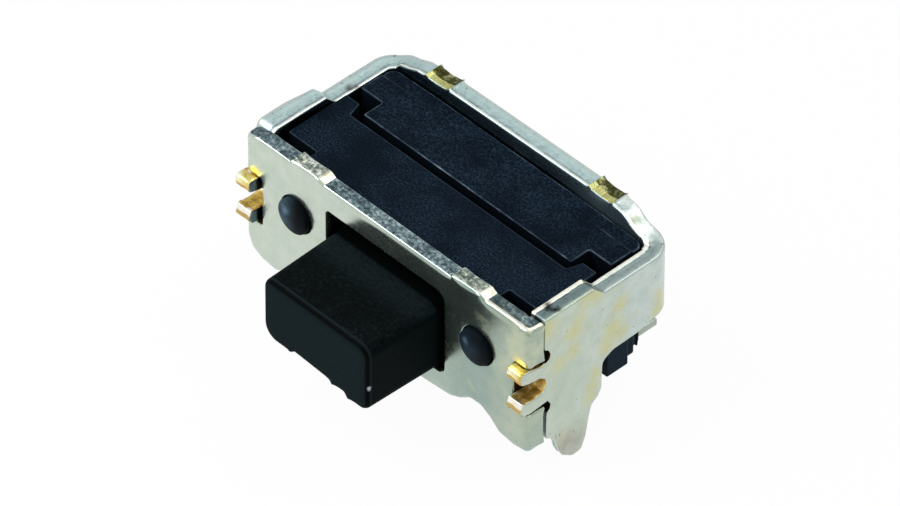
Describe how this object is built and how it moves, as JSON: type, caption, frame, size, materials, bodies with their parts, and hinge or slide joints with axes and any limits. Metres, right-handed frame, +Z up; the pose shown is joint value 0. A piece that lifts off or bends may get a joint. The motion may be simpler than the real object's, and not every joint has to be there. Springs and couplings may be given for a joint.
{
  "type": "side push tactile switch",
  "caption": "Low side push tactile switch for a board edge: bent metal shell, windowed front plate, dark mouldings, black button, board legs and solder feet.",
  "frame": {"origin": "middle of the metal body's footprint on the board surface, which is the plane of the base's underside", "axes": "+X across the front to the right as seen from the button, +Y the way the button is pressed, +Z up from the board"},
  "size_m": [0.0046, 0.0036, 0.0024],
  "materials": {
    "shell_metal": "tin plated sheet, satin, slightly stained",
    "plate_metal": "tin plated sheet, satin",
    "base_plastic": "fine matt moulding",
    "holder_plastic": "fine matt moulding",
    "button_plastic": "smooth matt moulding",
    "dome_metal": "thin spring sheet",
    "film_plastic": "amber film",
    "contact_metal": "plated strip"
  },
  "bodies": {
    "housing": {"shell": "shell_metal", "front_plate": "plate_metal", "base": "base_plastic", "holder": "holder_plastic", "dome": "dome_metal", "film": "film_plastic", "centre_contact": "contact_metal", "outer_contact": "contact_metal"},
    "button": {"button": "button_plastic"}
  },
  "joints": [
    {"name": "press", "type": "slide", "parent": "housing", "child": "button", "axis": [0, 1, 0], "range_m": [0, 0.0002], "stiffness_N_per_m": 8000, "deforming": ["dome", "film"]}
  ]
}
